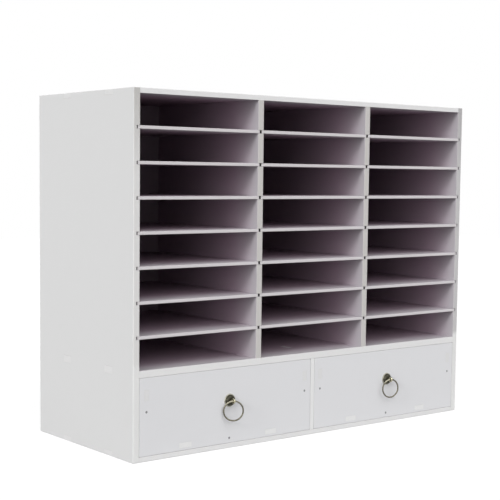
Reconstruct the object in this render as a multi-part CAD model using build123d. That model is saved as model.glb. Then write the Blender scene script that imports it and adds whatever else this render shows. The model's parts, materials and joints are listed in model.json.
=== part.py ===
from build123d import *
import os

# Literature organizer: a slotted board case with 24 paper compartments over two drawers with ring pulls.
# Millimetres. +X is to the right, +Y to the back and +Z up, and the front faces -Y.
# The origin is the centre of the underside of the case.

# Compartments: three columns of eight, each a little wider than a sheet of letter or A4 paper
COLUMNS = 3
ROWS = 8
CELL_WIDTH = 244.0
CELL_HEIGHT = 51.5

# Case boards
CASE_DEPTH = 312.0
SIDE_T = 12.0
UPRIGHT_T = 12.0
TOP_T = 9.0
BOTTOM_T = 9.0
DECK_T = 12.0
BAY_DIVIDER_T = 9.0
SHELF_T = 5.5
BACK_T = 5.5
DRAWER_BAY_HEIGHT = 131.5

# Eased edges: the outside of the case, the boards' front edges inside it, and the shelves.
# None takes more than the last share of its board's thickness.
OUTER_EDGE_R = 1.2
BOARD_EDGE_R = 0.45
SHELF_EDGE_R = 0.7
LARGEST_EDGE_SHARE = 0.45

# Tabs that join the boards: their length, the play in their mortises, and their middles from front and back
TAB_LENGTH = 25.0
TAB_PLAY = 0.15
TAB_FROM_FRONT = 76.0
TAB_FROM_BACK = 100.0

# Shelves in their grooves
SHELF_TONGUE = 3.5
SHELF_PLAY = 0.15
SHELF_SETBACK = 0.5
SIDE_GROOVE_DEPTH = 6.5
UPRIGHT_GROOVE_DEPTH = 4.0
WEB_NOTCH_DEPTH = 12.0

# Space between the boards and the back panel
BACK_PLAY = 0.2

# Drawers, inset with narrow gaps. The bottom's tabs stand a quarter of the drawer's width from its ends.
DRAWER_FRONT_T = 9.0
DRAWER_SIDE_T = 9.0
DRAWER_BACK_T = 9.0
DRAWER_BOTTOM_T = 9.0
DRAWER_SIDE_INSET = 9.5
DRAWER_SIDE_GAP = 0.45
DRAWER_TOP_GAP = 0.35
DRAWER_FLOOR_GAP = 0.35
DRAWER_STOP_GAP = 0.5
DRAWER_CORNER_R = 2.0
DRAWER_EDGE_R = 0.3
SIDE_TAB_LENGTH = 18.0
SIDE_TAB_FROM_TOP = 29.7
SIDE_SCREW_ABOVE_MIDDLE = 1.7

# Strips on the floor of the case that the drawers run on
RUNNER_T = 4.0
RUNNER_WIDTH = 25.0
RUNNER_SETBACK = 2.0
RUNNING_GAP = 0.3

# Countersunk screws
SCREW_D = 2.5
SCREW_HEAD_D = 4.4
SCREW_HEAD_T = 1.3
SCREW_TIP = 0.75
SCREW_SINK = 0.3
SCREW_PLAY = 0.05
DRAWER_SCREW_LENGTH = 25.0
BACK_SCREW_LENGTH = 16.0
RECESS_LENGTH = 2.4
RECESS_WIDTH = 0.6
RECESS_DEPTH = 0.7
BACK_SCREW_FROM_SIDE = 60.0
BACK_SCREWS_ACROSS = 4
SCREWS_UP_UPRIGHT = 2
BOTTOM_SCREW_FROM_END = 60.0
BOTTOM_SCREW_FROM_MIDDLE = 86.0

# Ring pulls, each on an eye with a short neck, a little above the middle of the drawer front
PULL_ABOVE_MIDDLE = 9.55
ROSETTE_D = 23.0
ROSETTE_RIM_T = 1.4
ROSETTE_RIM_R = 0.7
ROSETTE_DOME_D = 19.6
ROSETTE_TOP_D = 11.0
ROSETTE_T = 5.9
EYE_NECK = 0.4
EYE_R = 3.6
EYE_WIRE_R = 1.3
POST_D = 4.0
POST_PLAY = 0.1
RING_R = 17.2
RING_WIRE_R = 1.35
LEFT_RING_TURN = 27.0
RIGHT_RING_TURN = 12.0
WASHER_D = 12.0
WASHER_T = 1.0
NUT_ACROSS_FLATS = 7.0
NUT_T = 3.2
POST_END = 1.5

# Worked out from the sizes above
inner_width = COLUMNS * CELL_WIDTH + (COLUMNS - 1) * UPRIGHT_T
case_width = inner_width + 2 * SIDE_T
deck_bottom = BOTTOM_T + DRAWER_BAY_HEIGHT
deck_top = deck_bottom + DECK_T
top_bottom = deck_top + ROWS * CELL_HEIGHT + (ROWS - 1) * SHELF_T
case_height = top_bottom + TOP_T
front = -CASE_DEPTH / 2
rear = CASE_DEPTH / 2
back_face = rear - BACK_T
board_rear = back_face - BACK_PLAY
inner_left = -inner_width / 2
inner_right = inner_width / 2
tab_places = [front + TAB_FROM_FRONT, rear - TAB_FROM_BACK]
shelf_levels = [top_bottom - (row + 1) * (CELL_HEIGHT + SHELF_T) for row in range(ROWS - 1)]
upright_places = [
    inner_left + (column + 1) * CELL_WIDTH + (column + 0.5) * UPRIGHT_T for column in range(COLUMNS - 1)
]


def block(x0, x1, y0, y1, z0, z1):
    """A plain board between two opposite corners."""
    return Pos((x0 + x1) / 2, (y0 + y1) / 2, (z0 + z1) / 2) * Box(x1 - x0, y1 - y0, z1 - z0)


def edge_radius(radius, thickness):
    """The radius of an eased edge, kept within the board's thickness."""
    return min(radius, LARGEST_EDGE_SHARE * thickness)


def ease_front(board, axis, radius):
    """Round the two front edges that run along an axis."""
    return fillet(board.edges().filter_by(axis).group_by(Axis.Y)[0], radius)


def case_envelope():
    """The outer shape of the whole case, with its edges eased."""
    whole = block(-case_width / 2, case_width / 2, front, rear, 0, case_height)
    return fillet(whole.edges(), edge_radius(OUTER_EDGE_R, min(TOP_T, BOTTOM_T, SIDE_T, BACK_T)))


envelope = case_envelope()


def tab_along_y(x0, x1, middle, z0, z1, play=0.0):
    """A tab whose length runs front to back, or its mortise when it is given play."""
    half = TAB_LENGTH / 2 + play
    return block(x0, x1, middle - half, middle + half, z0, z1)


def side_tabs(z0, z1, play=0.0):
    """The tabs of a level board, through both side panels, or their mortises."""
    tabs = Part()
    for middle in tab_places:
        tabs += tab_along_y(-case_width / 2, inner_left, middle, z0 - play, z1 + play, play)
        tabs += tab_along_y(inner_right, case_width / 2, middle, z0 - play, z1 + play, play)
    return tabs


def upright_tabs(place, thickness, z0, z1, play=0.0):
    """The tabs of a standing board, through the level board above or below it, or their mortises."""
    tabs = Part()
    half = thickness / 2 + play
    for middle in tab_places:
        tabs += tab_along_y(place - half, place + half, middle, z0, z1, play)
    return tabs


def groove(x0, x1, level, rear_end):
    """The space that a shelf's end slides into."""
    return block(x0, x1, front, rear_end, level - SHELF_PLAY, level + SHELF_T + SHELF_PLAY)


def screw(length):
    """A countersunk screw that points down, its head's top at zero."""
    head = Pos(0, 0, -SCREW_HEAD_T / 2) * Cone(SCREW_D / 2, SCREW_HEAD_D / 2, SCREW_HEAD_T)
    shank = Pos(0, 0, -(SCREW_HEAD_T + length) / 2) * Cylinder(SCREW_D / 2, length - SCREW_HEAD_T)
    pointed = chamfer(shank.edges().group_by(Axis.Z)[0], min(SCREW_TIP, LARGEST_EDGE_SHARE * SCREW_D))
    recess = Pos(0, 0, -RECESS_DEPTH / 2) * Box(RECESS_LENGTH, RECESS_WIDTH, RECESS_DEPTH)
    return head + pointed - recess - Rot(0, 0, 90) * recess


def screw_space(length):
    """The hole and countersink for a screw, open to the face that the screw is sunk into."""
    radius = SCREW_D / 2 + SCREW_PLAY
    mouth = SCREW_HEAD_D / 2 + SCREW_PLAY
    sink = Pos(0, 0, -SCREW_HEAD_T / 2) * Cone(radius, mouth, SCREW_HEAD_T)
    mouth_hole = Pos(0, 0, SCREW_SINK / 2) * Cylinder(mouth, SCREW_SINK)
    shank_length = length - SCREW_HEAD_T + SCREW_PLAY
    hole = Pos(0, 0, -SCREW_HEAD_T - shank_length / 2) * Cylinder(radius, shank_length)
    return sink + mouth_hole + hole


# Each screw stands with its head's top at the place and its shank along the named direction
TURNS = {"back": Rot(90, 0, 0), "front": Rot(-90, 0, 0), "up": Rot(180, 0, 0)}


def place_screws(places, shape):
    """Copies of a screw or of its space, one at each place."""
    return [Pos(*place) * TURNS[direction] * shape for place, direction in places]


def back_screw_places():
    """The heads of the screws that hold the back panel on the rear edges of the boards."""
    head = rear - SCREW_SINK
    places = []
    across = inner_width - 2 * BACK_SCREW_FROM_SIDE
    for level in (BOTTOM_T / 2, deck_bottom + DECK_T / 2, top_bottom + TOP_T / 2):
        for count in range(BACK_SCREWS_ACROSS):
            x = -across / 2 + count * across / (BACK_SCREWS_ACROSS - 1)
            places.append(((x, head, level), "front"))
    step = (top_bottom - deck_top) / (SCREWS_UP_UPRIGHT + 1)
    for place in upright_places:
        for count in range(SCREWS_UP_UPRIGHT):
            places.append(((place, head, deck_top + (count + 1) * step), "front"))
    return places


back_screws = back_screw_places()
back_screw_spaces = place_screws(back_screws, screw_space(BACK_SCREW_LENGTH))


def cut_all(board, cutters):
    """A board with every listed space taken out of it."""
    for cutter in cutters:
        board -= cutter
    return board


def side_panel(left):
    """A side panel with its shelf grooves and the mortises of the level boards."""
    if left:
        outer, inner, floor = -case_width / 2, inner_left, inner_left - SIDE_GROOVE_DEPTH
    else:
        outer, inner, floor = case_width / 2, inner_right, inner_right + SIDE_GROOVE_DEPTH
    panel = block(min(outer, inner), max(outer, inner), front, rear, 0, case_height) & envelope
    front_edges = panel.edges().filter_by(Axis.Z).group_by(Axis.Y)[0]
    inner_edge = min(front_edges, key=lambda edge: abs(edge.center().X - inner))
    panel = fillet(inner_edge, edge_radius(BOARD_EDGE_R, SIDE_T))
    for level in shelf_levels:
        panel -= groove(min(floor, inner), max(floor, inner), level, board_rear)
    for z0, z1 in ((0, BOTTOM_T), (deck_bottom, deck_top), (top_bottom, case_height)):
        panel -= side_tabs(z0, z1, TAB_PLAY)
    return panel


def level_board(z0, z1):
    """A board from side to side, with tabs through both side panels."""
    board = block(inner_left, inner_right, front, board_rear, z0, z1)
    board = ease_front(board, Axis.X, edge_radius(BOARD_EDGE_R, z1 - z0))
    return (board + side_tabs(z0, z1)) & envelope


def top_panel():
    """The top, with mortises for the uprights."""
    board = level_board(top_bottom, case_height)
    for place in upright_places:
        board -= upright_tabs(place, UPRIGHT_T, top_bottom, case_height, TAB_PLAY)
    return cut_all(board, back_screw_spaces)


def deck_panel():
    """The board under the compartments, with mortises for the uprights and the bay divider."""
    board = level_board(deck_bottom, deck_top)
    for place in upright_places:
        board -= upright_tabs(place, UPRIGHT_T, deck_bottom, deck_top, TAB_PLAY)
    board -= upright_tabs(0, BAY_DIVIDER_T, deck_bottom, deck_top, TAB_PLAY)
    return cut_all(board, back_screw_spaces)


def bottom_panel():
    """The floor of the case, with mortises for the bay divider."""
    board = level_board(0, BOTTOM_T)
    board -= upright_tabs(0, BAY_DIVIDER_T, 0, BOTTOM_T, TAB_PLAY)
    return cut_all(board, back_screw_spaces)


def upright(place):
    """A board between two columns. Both faces are grooved, and each groove's web is notched at the front."""
    left, right = place - UPRIGHT_T / 2, place + UPRIGHT_T / 2
    board = block(left, right, front, board_rear, deck_top, top_bottom)
    board = ease_front(board, Axis.Z, edge_radius(BOARD_EDGE_R, UPRIGHT_T))
    for level in shelf_levels:
        board -= groove(left, left + UPRIGHT_GROOVE_DEPTH, level, board_rear)
        board -= groove(right - UPRIGHT_GROOVE_DEPTH, right, level, board_rear)
        board -= groove(left, right, level, front + WEB_NOTCH_DEPTH)
    board += upright_tabs(place, UPRIGHT_T, deck_bottom, deck_top)
    board += upright_tabs(place, UPRIGHT_T, top_bottom, case_height)
    return cut_all(board, back_screw_spaces)


def bay_divider():
    """The short board between the drawers, with tabs into the deck and the floor."""
    half = BAY_DIVIDER_T / 2
    board = block(-half, half, front, board_rear, BOTTOM_T, deck_bottom)
    board = ease_front(board, Axis.Z, edge_radius(BOARD_EDGE_R, BAY_DIVIDER_T))
    board += upright_tabs(0, BAY_DIVIDER_T, 0, BOTTOM_T)
    board += upright_tabs(0, BAY_DIVIDER_T, deck_bottom, deck_top)
    return board


def back_panel():
    """The back, let in between the side panels."""
    board = block(inner_left + BACK_PLAY, inner_right - BACK_PLAY, back_face, rear, 0, case_height)
    return cut_all(board & envelope, back_screw_spaces)


def shelf(column, level):
    """A shelf with its two ends in their grooves."""
    left = inner_left + column * (CELL_WIDTH + UPRIGHT_T) - SHELF_TONGUE
    right = left + CELL_WIDTH + 2 * SHELF_TONGUE
    board = block(left, right, front + SHELF_SETBACK, board_rear, level, level + SHELF_T)
    return ease_front(board, Axis.X, edge_radius(SHELF_EDGE_R, SHELF_T))


# The drawers, drawn about their own middle and then moved to their bays
bay_width = (inner_width - BAY_DIVIDER_T) / 2
drawer_width = bay_width - 2 * DRAWER_SIDE_GAP
drawer_low = BOTTOM_T + DRAWER_FLOOR_GAP
drawer_high = deck_bottom - DRAWER_TOP_GAP
tray_low = BOTTOM_T + RUNNER_T + RUNNING_GAP
tray_high = tray_low + DRAWER_BOTTOM_T
drawer_front_back = front + DRAWER_FRONT_T
drawer_rear = back_face - DRAWER_STOP_GAP
drawer_back_front = drawer_rear - DRAWER_BACK_T
side_outer = drawer_width / 2 - DRAWER_SIDE_INSET
side_middle = side_outer - DRAWER_SIDE_T / 2
side_tab_level = drawer_high - SIDE_TAB_FROM_TOP
side_screw_level = (tray_high + drawer_high) / 2 + SIDE_SCREW_ABOVE_MIDDLE
pull_level = (drawer_low + drawer_high) / 2 + PULL_ABOVE_MIDDLE
eye_middle = front - ROSETTE_T - EYE_NECK - EYE_WIRE_R - EYE_R
drawer_middles = {"left": -(BAY_DIVIDER_T + bay_width) / 2, "right": (BAY_DIVIDER_T + bay_width) / 2}


def drawer_side_tab(direction, y0, y1, play=0.0):
    """The tab of a drawer side through the front or the back, or its mortise."""
    half_t = DRAWER_SIDE_T / 2 + play
    half_length = SIDE_TAB_LENGTH / 2 + play
    middle = direction * side_middle
    low, high = side_tab_level - half_length, side_tab_level + half_length
    return block(middle - half_t, middle + half_t, y0, y1, low, high)


def drawer_bottom_tab(direction, y0, y1, play=0.0):
    """A tab of the drawer bottom through the front, or its mortise."""
    half_length = TAB_LENGTH / 2 + play
    middle = direction * drawer_width / 4
    return block(middle - half_length, middle + half_length, y0, y1, tray_low - play, tray_high + play)


def drawer_screw_places():
    """The heads of a drawer's screws, through its front, its back and its bottom."""
    places = [((0, front + SCREW_SINK, (tray_low + tray_high) / 2), "back")]
    for direction in (-1, 1):
        x = direction * side_middle
        places.append(((x, front + SCREW_SINK, side_screw_level), "back"))
        places.append(((x, drawer_rear - SCREW_SINK, side_screw_level), "front"))
        places.append(((x, drawer_front_back + BOTTOM_SCREW_FROM_END, tray_low + SCREW_SINK), "up"))
        places.append(((x, drawer_back_front - BOTTOM_SCREW_FROM_END, tray_low + SCREW_SINK), "up"))
        x = direction * BOTTOM_SCREW_FROM_MIDDLE
        places.append(((x, (drawer_back_front + drawer_rear) / 2, tray_low + SCREW_SINK), "up"))
    return places


drawer_screws = drawer_screw_places()
drawer_screw_spaces = place_screws(drawer_screws, screw_space(DRAWER_SCREW_LENGTH))


def pull_hole(radius, y0, y1):
    """A hole from front to back at the ring pull's place."""
    return Pos(0, (y0 + y1) / 2, pull_level) * Rot(90, 0, 0) * Cylinder(radius, y1 - y0)


def drawer_front():
    """The drawer front, inset flush in the front of the case, with slightly rounded corners."""
    board = block(-drawer_width / 2, drawer_width / 2, front, drawer_front_back, drawer_low, drawer_high)
    board = fillet(board.edges().filter_by(Axis.Y), DRAWER_CORNER_R)
    board = fillet(board.faces().sort_by(Axis.Y)[0].edges(), edge_radius(DRAWER_EDGE_R, DRAWER_FRONT_T))
    for direction in (-1, 1):
        board -= drawer_side_tab(direction, front, drawer_front_back, TAB_PLAY)
        board -= drawer_bottom_tab(direction, front, drawer_front_back, TAB_PLAY)
    board -= pull_hole(POST_D / 2 + POST_PLAY, front, drawer_front_back)
    return cut_all(board, drawer_screw_spaces)


def drawer_side(direction):
    """A drawer side, standing on the bottom, with a tab through the front and one through the back."""
    x0, x1 = direction * side_middle - DRAWER_SIDE_T / 2, direction * side_middle + DRAWER_SIDE_T / 2
    board = block(x0, x1, drawer_front_back, drawer_back_front, tray_high, drawer_high)
    top_edges = board.edges().filter_by(Axis.Y).group_by(Axis.Z)[-1]
    board = fillet(top_edges, edge_radius(DRAWER_EDGE_R, DRAWER_SIDE_T))
    board += drawer_side_tab(direction, front, drawer_front_back)
    board += drawer_side_tab(direction, drawer_back_front, drawer_rear)
    return cut_all(board, drawer_screw_spaces)


def drawer_back():
    """The drawer back, standing on the bottom."""
    half = drawer_width / 2
    board = block(-half, half, drawer_back_front, drawer_rear, tray_high, drawer_high)
    top_edges = board.edges().filter_by(Axis.X).group_by(Axis.Z)[-1]
    board = fillet(top_edges, edge_radius(DRAWER_EDGE_R, DRAWER_BACK_T))
    for direction in (-1, 1):
        board -= drawer_side_tab(direction, drawer_back_front, drawer_rear, TAB_PLAY)
    return cut_all(board, drawer_screw_spaces)


def drawer_bottom():
    """The drawer bottom, as wide as its bay allows, so that it keeps the drawer straight."""
    board = block(-drawer_width / 2, drawer_width / 2, drawer_front_back, drawer_rear, tray_low, tray_high)
    for direction in (-1, 1):
        board += drawer_bottom_tab(direction, front, drawer_front_back)
    return cut_all(board, drawer_screw_spaces)


def rosette():
    """The round plate behind the eye: a thin rim round a low dome with a flat top, bored for the post."""
    rim_r = ROSETTE_D / 2
    dome_r = ROSETTE_DOME_D / 2
    top_r = ROSETTE_TOP_D / 2
    bore_r = POST_D / 2 + POST_PLAY
    rim_start = (rim_r, ROSETTE_RIM_T - ROSETTE_RIM_R)
    rim_end = (rim_r - ROSETTE_RIM_R, ROSETTE_RIM_T)
    dome = (dome_r - top_r, ROSETTE_T - ROSETTE_RIM_T)
    outline = Polyline((bore_r, ROSETTE_T), (bore_r, 0), (rim_r, 0), rim_start)
    outline += RadiusArc(rim_start, rim_end, -ROSETTE_RIM_R)
    outline += Line(rim_end, (dome_r, ROSETTE_RIM_T))
    outline += EllipticalCenterArc((top_r, ROSETTE_RIM_T), *dome, start_angle=0, arc_size=90)
    outline += Line((top_r, ROSETTE_T), (bore_r, ROSETTE_T))
    plate = revolve(Plane.XZ * make_face(outline), Axis.Z)
    return Pos(0, front, pull_level) * Rot(90, 0, 0) * plate


def eye_post():
    """The eye that the ring hangs in, on a post that runs through the rosette and the drawer front."""
    eye = Pos(0, eye_middle, pull_level) * Rot(0, 90, 0) * Torus(EYE_R, EYE_WIRE_R)
    post_end = drawer_front_back + WASHER_T + NUT_T + POST_END
    return eye + pull_hole(POST_D / 2, eye_middle + EYE_R, post_end)


def ring(turn):
    """The ring, hanging in its eye and turned a little to the left."""
    hoop = Pos(0, 0, -RING_R) * Rot(90, 0, 0) * Torus(RING_R, RING_WIRE_R)
    return Pos(0, eye_middle, pull_level) * Rot(0, 0, -turn) * hoop


def washer():
    """The washer behind the drawer front."""
    disc = pull_hole(WASHER_D / 2, drawer_front_back, drawer_front_back + WASHER_T)
    return disc - pull_hole(POST_D / 2 + POST_PLAY, drawer_front_back, drawer_front_back + WASHER_T)


def nut():
    """The nut on the end of the post."""
    y0 = drawer_front_back + WASHER_T
    body = extrude(RegularPolygon(NUT_ACROSS_FLATS / 2, 6, major_radius=False), NUT_T)
    placed = Pos(0, y0, pull_level) * Rot(-90, 0, 0) * body
    return placed - pull_hole(POST_D / 2 + POST_PLAY, y0, y0 + NUT_T)


def drawer_pieces():
    """The pieces that both drawers share, about the drawer's own middle. Each ring has its own turn."""
    return {
        "front": drawer_front(),
        "left_side": drawer_side(-1),
        "right_side": drawer_side(1),
        "back": drawer_back(),
        "bottom": drawer_bottom(),
        "screws": place_screws(drawer_screws, screw(DRAWER_SCREW_LENGTH)),
        "pull_rosette": rosette(),
        "pull_eye_post": eye_post(),
        "pull_washer": washer(),
        "pull_nut": nut(),
    }


def runner_strip(x0, x1):
    """A strip on the floor of the case, under one edge of a drawer."""
    return block(x0, x1, drawer_front_back + RUNNER_SETBACK, board_rear, BOTTOM_T, BOTTOM_T + RUNNER_T)


def case_pieces():
    """Every piece of the case, by name."""
    pieces = {
        "left_side_panel": side_panel(True),
        "right_side_panel": side_panel(False),
        "top_panel": top_panel(),
        "drawer_deck": deck_panel(),
        "bottom_panel": bottom_panel(),
        "drawer_bay_divider": bay_divider(),
        "back_panel": back_panel(),
        "back_panel_screws": place_screws(back_screws, screw(BACK_SCREW_LENGTH)),
    }
    for column, place in enumerate(upright_places):
        pieces[f"upright_{column + 1}"] = upright(place)
    for column in range(COLUMNS):
        for row, level in enumerate(shelf_levels):
            pieces[f"column_{column + 1}_shelf_{row + 1}"] = shelf(column, level)
    for side, middle in drawer_middles.items():
        low, high = middle - bay_width / 2, middle + bay_width / 2
        pieces[f"{side}_bay_left_runner"] = runner_strip(low, low + RUNNER_WIDTH)
        pieces[f"{side}_bay_right_runner"] = runner_strip(high - RUNNER_WIDTH, high)
    return pieces


def write(name, piece, x=0.0):
    """Write one piece, or a group of like pieces, moved sideways to its place."""
    group = piece if isinstance(piece, list) else [piece]
    moved = [Pos(x, 0, 0) * one for one in group]
    export_step(moved[0] if len(moved) == 1 else Compound(children=moved), f"parts/{name}.step")


os.makedirs("parts", exist_ok=True)
for name, piece in case_pieces().items():
    write(name, piece)
one_drawer = drawer_pieces()
for side, middle in drawer_middles.items():
    for name, piece in one_drawer.items():
        write(f"{side}_drawer_{name}", piece, middle)
write("left_drawer_pull_ring", ring(LEFT_RING_TURN), drawer_middles["left"])
write("right_drawer_pull_ring", ring(RIGHT_RING_TURN), drawer_middles["right"])
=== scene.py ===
import json
from math import cos, radians, sin

import bpy
from mathutils import Matrix, Vector


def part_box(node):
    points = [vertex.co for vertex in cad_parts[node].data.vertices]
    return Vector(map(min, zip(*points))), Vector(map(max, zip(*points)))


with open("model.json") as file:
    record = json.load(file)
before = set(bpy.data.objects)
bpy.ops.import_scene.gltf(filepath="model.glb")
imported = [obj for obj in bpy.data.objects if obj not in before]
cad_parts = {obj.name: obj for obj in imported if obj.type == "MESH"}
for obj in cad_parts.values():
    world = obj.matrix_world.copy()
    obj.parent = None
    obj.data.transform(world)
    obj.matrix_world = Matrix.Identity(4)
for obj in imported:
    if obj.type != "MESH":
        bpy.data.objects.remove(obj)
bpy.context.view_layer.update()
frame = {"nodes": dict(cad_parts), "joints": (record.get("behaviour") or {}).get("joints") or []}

nodes = frame["nodes"]

X, Y, Z = 0, 1, 2
WHITE = (1, 1, 1, 1)


# Camera: where the photograph was taken from, in metres and degrees
CAMERA_AT = Vector((-1.4368, -1.7711, 0.4723))
CAMERA_YAW, CAMERA_PITCH, CAMERA_ROLL = 38.566, 4.784, -0.644
CLIP_NEAR, CLIP_FAR = 0.05, 60.0
# Its lens in pixels of the photograph's frame, and how far below the frame's middle it looks
FOCAL_PIXELS = 1190.0
FRAME_PIXELS = 500.0
CENTRE_BELOW_MIDDLE = 25.5
SENSOR_WIDTH = 36.0


def add_camera():
    """The camera at the photograph's place, its axes worked out from yaw, pitch and roll."""
    yaw, pitch, roll = (radians(a) for a in (CAMERA_YAW, CAMERA_PITCH, CAMERA_ROLL))
    forward = Vector((sin(yaw) * cos(pitch), cos(yaw) * cos(pitch), -sin(pitch)))
    level = Vector((cos(yaw), -sin(yaw), 0))
    down = forward.cross(level)
    right = cos(roll) * level + sin(roll) * down
    low = -sin(roll) * level + cos(roll) * down
    data = bpy.data.cameras.new("camera")
    data.sensor_width = SENSOR_WIDTH
    data.lens = FOCAL_PIXELS / FRAME_PIXELS * SENSOR_WIDTH
    data.shift_y = CENTRE_BELOW_MIDDLE / FRAME_PIXELS
    data.clip_start, data.clip_end = CLIP_NEAR, CLIP_FAR
    camera = bpy.data.objects.new("camera", data)
    turn = Matrix((right, -low, -forward)).transposed().to_4x4()
    camera.matrix_world = Matrix.Translation(CAMERA_AT) @ turn
    bpy.context.scene.collection.objects.link(camera)
    bpy.context.scene.camera = camera


# Light: an even pale surround, a fairly sharp lamp on the left of the case and two very soft ones, from the
# left front and from the front. Each lamp is where it comes from, its strength and its angle in degrees.
SURROUND = 0.33
LAMPS = {
    "side_lamp": (Vector((-1.0, -0.31, 0.45)), 1.04, 14.0),
    "left_lamp": (Vector((-1.0, -0.50, 0.45)), 1.27, 54.0),
    "front_lamp": (Vector((0.05, -1.0, 0.85)), 1.64, 60.0),
}
# The world that the camera sees is plain white.
SEEN_STRENGTH = 1.0


def seen_directly(tree):
    """1 for what the camera sees straight, in a mirror or through glass, and 0 for what lights the object."""
    path = tree.nodes.new("ShaderNodeLightPath")
    total = path.outputs["Is Camera Ray"]
    for name in ("Is Glossy Ray", "Is Transmission Ray"):
        add = tree.nodes.new("ShaderNodeMath")
        add.operation = "MAXIMUM"
        tree.links.new(total, add.inputs[0])
        tree.links.new(path.outputs[name], add.inputs[1])
        total = add.outputs[0]
    return total


def shade(tree, lighting, seen, output):
    """Use one shader for what lights the object and another for what the camera sees."""
    mix = tree.nodes.new("ShaderNodeMixShader")
    out = tree.nodes.new(output)
    tree.links.new(seen_directly(tree), mix.inputs[0])
    tree.links.new(lighting.outputs[0], mix.inputs[1])
    tree.links.new(seen.outputs[0], mix.inputs[2])
    tree.links.new(mix.outputs[0], out.inputs["Surface"])


def background(tree, strength):
    node = tree.nodes.new("ShaderNodeBackground")
    node.inputs["Color"].default_value = WHITE
    node.inputs["Strength"].default_value = strength
    return node


def add_light():
    world = bpy.data.worlds.new("studio")
    world.use_nodes = True
    tree = world.node_tree
    tree.nodes.clear()
    shade(tree, background(tree, SURROUND), background(tree, SEEN_STRENGTH), "ShaderNodeOutputWorld")
    bpy.context.scene.world = world

    for name, (source, strength, angle) in LAMPS.items():
        data = bpy.data.lights.new(name, "SUN")
        data.energy = strength
        data.angle = radians(angle)
        lamp = bpy.data.objects.new(name, data)
        lamp.rotation_euler = source.to_track_quat("Z", "Y").to_euler()
        lamp.location = source
        bpy.context.scene.collection.objects.link(lamp)


# Floor: half its width in metres, the grey that lights the object, and the glow and the share of shadow that
# the camera sees
FLOOR_HALF = 6.0
FLOOR_PALE = 0.33
FLOOR_GLOW = 0.9
FLOOR_SHARE = 0.16


def diffuse(tree, grey):
    node = tree.nodes.new("ShaderNodeBsdfDiffuse")
    node.inputs["Color"].default_value = (grey, grey, grey, 1)
    return node


def add_floor():
    """A pale floor that reads as white to the camera and keeps a faint shadow."""
    mesh = bpy.data.meshes.new("floor")
    h = FLOOR_HALF
    mesh.from_pydata([(-h, -h, 0), (h, -h, 0), (h, h, 0), (-h, h, 0)], [], [(0, 1, 2, 3)])
    floor = bpy.data.objects.new("floor", mesh)
    bpy.context.scene.collection.objects.link(floor)
    material = bpy.data.materials.new("floor")
    material.use_nodes = True
    tree = material.node_tree
    tree.nodes.clear()
    glow = tree.nodes.new("ShaderNodeEmission")
    glow.inputs["Strength"].default_value = FLOOR_GLOW
    both = tree.nodes.new("ShaderNodeAddShader")
    tree.links.new(diffuse(tree, FLOOR_SHARE).outputs[0], both.inputs[0])
    tree.links.new(glow.outputs[0], both.inputs[1])
    shade(tree, diffuse(tree, FLOOR_PALE), both, "ShaderNodeOutputMaterial")
    mesh.materials.append(material)


# The colour sockets of a Mix node, which share their names with its other sockets
MIX_A, MIX_B, MIX_RESULT = 6, 7, 2


class Nodes:
    """Short ways to add shader nodes to one material."""

    def __init__(self, name):
        self.material = bpy.data.materials.new(name)
        self.material.use_nodes = True
        self.tree = self.material.node_tree
        self.tree.nodes.clear()
        coords = self.tree.nodes.new("ShaderNodeTexCoord")
        self.place = coords.outputs["Object"]
        self.normal = coords.outputs["Normal"]

    def link(self, value, socket):
        if isinstance(value, bpy.types.NodeSocket):
            self.tree.links.new(value, socket)
        elif isinstance(value, tuple) and socket.type == "RGBA":
            socket.default_value = (*value, 1)
        else:
            socket.default_value = value

    def math(self, operation, *values):
        node = self.tree.nodes.new("ShaderNodeMath")
        node.operation = operation
        for value, socket in zip(values, node.inputs):
            self.link(value, socket)
        return node.outputs[0]

    def weighted(self, value, weight, plus):
        """The value times a weight, plus something."""
        return self.math("ADD", self.math("MULTIPLY", value, weight), plus)

    def ramp(self, value, none, full):
        """0 where the value is none or past it, 1 at full or past it, and even between."""
        node = self.tree.nodes.new("ShaderNodeMapRange")
        node.clamp = True
        self.link(value, node.inputs["Value"])
        node.inputs["From Min"].default_value = none
        node.inputs["From Max"].default_value = full
        return node.outputs["Result"]

    def mix(self, amount, a, b, blend="MIX"):
        node = self.tree.nodes.new("ShaderNodeMix")
        node.data_type = "RGBA"
        node.blend_type = blend
        self.link(amount, node.inputs["Factor"])
        self.link(a, node.inputs[MIX_A])
        self.link(b, node.inputs[MIX_B])
        return node.outputs[MIX_RESULT]

    def multiplied(self, colour, amount, least):
        """The colour times a grey that goes from least to 1 as amount does."""
        grey = self.mix(amount, (least, least, least), (1.0, 1.0, 1.0))
        return self.mix(1.0, colour, grey, "MULTIPLY")

    def axis(self, vector, index):
        node = self.tree.nodes.new("ShaderNodeSeparateXYZ")
        self.link(vector, node.inputs[0])
        return node.outputs[index]

    def noise(self, scale, detail, rough):
        node = self.tree.nodes.new("ShaderNodeTexNoise")
        self.link(self.place, node.inputs["Vector"])
        node.inputs["Scale"].default_value = scale
        node.inputs["Detail"].default_value = detail
        node.inputs["Roughness"].default_value = rough
        return node.outputs["Fac"]

    def bump(self, height, distance, strength, under=None):
        node = self.tree.nodes.new("ShaderNodeBump")
        node.inputs["Distance"].default_value = distance
        self.link(strength, node.inputs["Strength"])
        self.link(height, node.inputs["Height"])
        if under is not None:
            self.link(under, node.inputs["Normal"])
        return node.outputs["Normal"]

    def finish(self, **values):
        shader = self.tree.nodes.new("ShaderNodeBsdfPrincipled")
        for name, value in values.items():
            self.link(value, shader.inputs[name.replace("_", " ")])
        out = self.tree.nodes.new("ShaderNodeOutputMaterial")
        self.tree.links.new(shader.outputs[0], out.inputs["Surface"])
        return self.material


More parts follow.
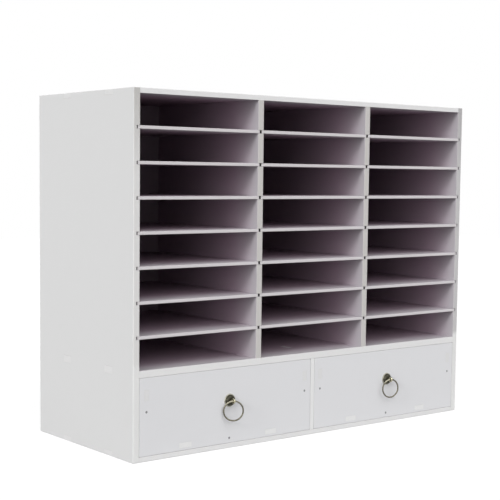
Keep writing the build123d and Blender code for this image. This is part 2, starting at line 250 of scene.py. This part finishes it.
# Places on the case, in metres
CASE_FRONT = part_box("left_side_panel")[0][Y]
CASE_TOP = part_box("top_panel")[1][Z]
DECK_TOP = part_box("drawer_deck")[1][Z]
UPRIGHT_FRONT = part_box("upright_1")[0][Y]
SHELF_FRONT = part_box("column_2_shelf_1")[0][Y]

# Colours of the boards' faces. Inner and shelf faces are painted shade: one near the front and a darker,
# purple-tinted one deep inside.
OUTER = (0.680, 0.680, 0.680)
INNER = ((0.452, 0.426, 0.452), (0.464, 0.356, 0.428))
SHELF_FACE = ((0.456, 0.430, 0.455), (0.466, 0.366, 0.432))
INNER_DEPTHS = (CASE_FRONT + 0.006, CASE_FRONT + 0.071)
# The back's inner face is painted shade, darker still.
BACK_INNER = (0.385, 0.315, 0.365)
DRAWER_FACE = (0.683, 0.683, 0.699)
# Colours of their cut edges. The uprights' and shelves' edges are greyer than the level boards' edges as
# painted shade.
LEVEL_EDGE = (0.738, 0.735, 0.735)
UPRIGHT_EDGE = (0.545, 0.528, 0.512)
SHELF_EDGE = (0.610, 0.585, 0.595)
TAB_END = (0.760, 0.760, 0.760)
SIDE_TAB_END = (0.700, 0.698, 0.700)
# The side panels' edges are painted shade: greyer above the deck, greyer still near the top, and greyer on
# the right panel than on the left.
SIDE_EDGE = (0.735, 0.735, 0.730)
LEFT_EDGE_SHADE = ((0.675, 0.668, 0.660), (0.505, 0.495, 0.480))
RIGHT_EDGE_SHADE = ((0.520, 0.512, 0.515), (0.435, 0.425, 0.430))
ABOVE_DECK = (DECK_TOP + 0.0025, DECK_TOP + 0.0125)
NEAR_TOP = (CASE_TOP - 0.142, CASE_TOP - 0.012)
# The notches' faces are painted dark as shade in the recess, from this far behind a board's front.
NOTCH_SHADE = (0.080, 0.072, 0.070)
NOTCH_SHADE_DEPTHS = (0.0010, 0.0015)

# How far a face leans along an axis where it starts to count as an edge, as outside or as facing up, and
# where it fully does
EDGE_LEAN = (0.80, 0.55)
OUTSIDE_LEAN = (0.3, 0.6)
UP_LEAN = (0.5, 0.8)
# The board's noises, each its scale, detail and roughness, with the range used and the darkest it makes
MOTTLE, MOTTLE_RANGE, MOTTLE_LEAST = (38.0, 4.0, 0.6), (0.3, 0.7), 0.992
SPECKLE, SPECKLE_RANGE, SPECKLE_LEAST = (2600.0, 2.0, 0.6), (0.30, 0.62), 0.94
PEEL = (900.0, 2.0, 0.5)
# The skin's grain and the core's pits: how deep in metres, and the grain's strength
PEEL_DEPTH, PEEL_STRENGTH = 0.00006, 0.35
PIT_DEPTH = 0.00012
SKIN_ROUGH, MOTTLE_ROUGH, EDGE_ROUGH = 0.40, 0.08, 0.22
BOARD_SPECULAR = 0.35


def board(name, thin, face, edge, outside=None, high=None, front=None):
    """White laminated board: a smooth skin with a faint grain, and plain cut edges that show the finer core.

    Thin is the axis that the board is thin along. Face is one colour, or one near the case's front and one
    deep inside; for the case's boards it is painted shade. Outside is the colour of the face on one side, and
    -1 or 1 for that side. High is the painted shade that the edges turn to above the deck and near the top.
    Front is where the front of a notched board is, behind which the notches' faces are painted dark as shade.
    """
    n = Nodes(name)
    along = n.axis(n.normal, thin)
    is_edge = n.ramp(n.math("ABSOLUTE", along), *EDGE_LEAN)
    # The inner faces' painted shade turns darker and more purple deeper inside.
    if len(face) == 2:
        face = n.mix(n.ramp(n.axis(n.place, Y), *INNER_DEPTHS), *face)
    if outside is not None:
        colour, side = outside
        face = n.mix(n.ramp(n.math("MULTIPLY", along, side), *OUTSIDE_LEAN), face, colour)
    # Above the deck and near the top, the edges turn to painted shade.
    if high is not None:
        level = n.axis(n.place, Z)
        edge = n.mix(n.ramp(level, *ABOVE_DECK), edge, n.mix(n.ramp(level, *NEAR_TOP), *high))
    # Behind a notched board's front, its edges are painted dark as shade in the notches.
    if front is not None:
        start, full = (front + depth for depth in NOTCH_SHADE_DEPTHS)
        edge = n.mix(n.ramp(n.axis(n.place, Y), start, full), edge, NOTCH_SHADE)
    if thin == X:
        faces_up = n.ramp(n.math("ABSOLUTE", n.axis(n.normal, Z)), *UP_LEAN)
        edge = n.mix(faces_up, edge, OUTER)
    mottle = n.noise(*MOTTLE)
    speckle = n.noise(*SPECKLE)
    core = n.multiplied(edge, n.ramp(speckle, *SPECKLE_RANGE), SPECKLE_LEAST)
    colour = n.mix(is_edge, face, core)
    colour = n.multiplied(colour, n.ramp(mottle, *MOTTLE_RANGE), MOTTLE_LEAST)
    grain = n.bump(n.noise(*PEEL), PEEL_DEPTH, PEEL_STRENGTH)
    pits = n.bump(speckle, PIT_DEPTH, is_edge, grain)
    rough = n.weighted(is_edge, EDGE_ROUGH, n.weighted(mottle, MOTTLE_ROUGH, SKIN_ROUGH))
    return n.finish(Base_Color=colour, Roughness=rough, Normal=pits, Specular_IOR_Level=BOARD_SPECULAR)


def dress(material, starts="", ends=""):
    """Give the material to each node whose name starts and ends so."""
    for name in nodes:
        if name.startswith(starts) and name.endswith(ends):
            mesh = nodes[name].data
            mesh.materials.clear()
            mesh.materials.append(material)


def dress_case():
    low_side, high_side = (OUTER, -1.0), (OUTER, 1.0)
    dress(board("left_side_board", X, INNER, SIDE_EDGE, low_side, LEFT_EDGE_SHADE), "left_side_panel")
    dress(board("right_side_board", X, INNER, SIDE_EDGE, high_side, RIGHT_EDGE_SHADE), "right_side_panel")
    dress(board("top_board", Z, INNER, LEVEL_EDGE, high_side), "top_panel")
    dress(board("bottom_board", Z, INNER, LEVEL_EDGE, low_side), "bottom_panel")
    dress(board("back_board", Y, BACK_INNER, LEVEL_EDGE, high_side), "back", "_panel")
    dress(board("deck_board", Z, SHELF_FACE, LEVEL_EDGE), "drawer_deck")
    dress(board("divider_board", X, INNER, TAB_END), "drawer_bay_divider")
    dress(board("upright_board", X, INNER, UPRIGHT_EDGE, front=UPRIGHT_FRONT), "upright_")
    plain = board("shelf_board", Z, SHELF_FACE, SHELF_EDGE)
    notched = board("notched_shelf_board", Z, SHELF_FACE, SHELF_EDGE, front=SHELF_FRONT)
    dress(plain, ends="_runner")
    for column, shelf in (("1", plain), ("2", notched), ("3", notched)):
        dress(shelf, "column_" + column + "_shelf_")


def dress_drawers():
    dress(board("drawer_front_board", Y, DRAWER_FACE, LEVEL_EDGE), ends="_drawer_front")
    dress(board("drawer_bottom_board", Z, OUTER, TAB_END), ends="_drawer_bottom")
    dress(board("drawer_back_board", Y, OUTER, TAB_END), ends="_drawer_back")
    drawer_side = board("drawer_side_board", X, OUTER, SIDE_TAB_END)
    for hand in ("left", "right"):
        dress(drawer_side, ends="_drawer_" + hand + "_side")


# The ring pulls: how far each is from the middle plane, how high, and the radius of a rosette's dome
PULL_X, _, PULL_Z = next(j["pos_m"] for j in frame["joints"] if j["name"] == "right_ring_swing")
DOME_R = 0.0098
# Where the rosettes' rims, and the rings' tops left of their eyes, are painted pale as highlights
RIM_RADII = (DOME_R - 0.0001, DOME_R + 0.0003)
RING_TOP = (PULL_Z - 0.0065, PULL_Z - 0.0030)
RING_LEFT = (PULL_X + 0.0035, PULL_X + 0.0005)

# Each metal's colours in its dark and its bright places and its roughness, and the colours of the painted
# highlights
ROSETTE = ((0.035, 0.033, 0.025), (0.072, 0.069, 0.050), 0.42)
RIM_HIGHLIGHT = (0.40, 0.39, 0.33)
EYE = ((0.27, 0.25, 0.17), (0.60, 0.57, 0.42), 0.22)
RING = ((0.085, 0.079, 0.056), (0.20, 0.187, 0.145), 0.26)
RING_HIGHLIGHT = (0.34, 0.32, 0.25)
ZINC = ((0.24, 0.24, 0.25), (0.36, 0.36, 0.37), 0.3)
# The patina's and the zinc's noises, each its scale, detail and roughness, with the range used, what they add
# to the roughness, and how deep in metres and how strong the patina's grain is
CLOUD, FINE, CLOUD_SHARE = (420.0, 4.0, 0.6), (2400.0, 2.0, 0.5), 0.7
PATINA_RANGE, PATINA_ROUGH = (0.38, 0.62), 0.15
PATINA_DEPTH, PATINA_STRENGTH = 0.00004, 0.4
SPANGLE, SPANGLE_RANGE, SPANGLE_ROUGH = (900.0, 3.0, 0.6), (0.35, 0.65), 0.2


def brass(name, dark, light, rough, highlight_mask=None, pale=None):
    """Antique brass: bright metal under an uneven dark patina, painted pale as a highlight where the given
    mask says.
    """
    n = Nodes(name)
    cloud = n.noise(*CLOUD)
    fine = n.noise(*FINE)
    patina = n.weighted(cloud, CLOUD_SHARE, n.math("MULTIPLY", fine, 1.0 - CLOUD_SHARE))
    colour = n.mix(n.ramp(patina, *PATINA_RANGE), dark, light)
    # Where the mask says, the colour is painted pale as a highlight.
    if highlight_mask is not None:
        colour = n.mix(highlight_mask(n), colour, pale)
    grain = n.bump(fine, PATINA_DEPTH, PATINA_STRENGTH)
    roughness = n.weighted(cloud, PATINA_ROUGH, rough)
    return n.finish(Base_Color=colour, Metallic=1.0, Roughness=roughness, Normal=grain)


def rim_highlight(n):
    """1 on the thin rim of a rosette, painted pale as a highlight, and 0 on its dome."""
    across = n.math("SUBTRACT", n.math("ABSOLUTE", n.axis(n.place, X)), PULL_X)
    up = n.math("SUBTRACT", n.axis(n.place, Z), PULL_Z)
    radius = n.math("SQRT", n.weighted(across, across, n.math("MULTIPLY", up, up)))
    return n.ramp(radius, *RIM_RADII)


def ring_top_highlight(n):
    """1 at the top of a ring left of its eye, painted pale as a highlight, and 0 elsewhere.

    Wrapped over the distance between the two pulls, both of them come to PULL_X.
    """
    high = n.ramp(n.axis(n.place, Z), *RING_TOP)
    either_pull = n.math("WRAP", n.axis(n.place, X), 2 * PULL_X, 0.0)
    return n.math("MULTIPLY", high, n.ramp(either_pull, *RING_LEFT))


def zinc_steel(name, dark, light, rough):
    n = Nodes(name)
    spangle = n.noise(*SPANGLE)
    colour = n.mix(n.ramp(spangle, *SPANGLE_RANGE), dark, light)
    return n.finish(Base_Color=colour, Metallic=1.0, Roughness=n.weighted(spangle, SPANGLE_ROUGH, rough))


def dress_metal():
    dress(brass("rosette_brass", *ROSETTE, rim_highlight, RIM_HIGHLIGHT), ends="_rosette")
    dress(brass("eye_brass", *EYE), ends="_eye_post")
    dress(brass("ring_brass", *RING, ring_top_highlight, RING_HIGHLIGHT), ends="_ring")
    zinc = zinc_steel("zinc_steel", *ZINC)
    for small in ("_screws", "_nut", "_washer"):
        dress(zinc, ends=small)


add_camera()
add_light()
add_floor()
dress_case()
dress_drawers()
dress_metal()

bpy.context.scene.view_settings.view_transform = "Standard"
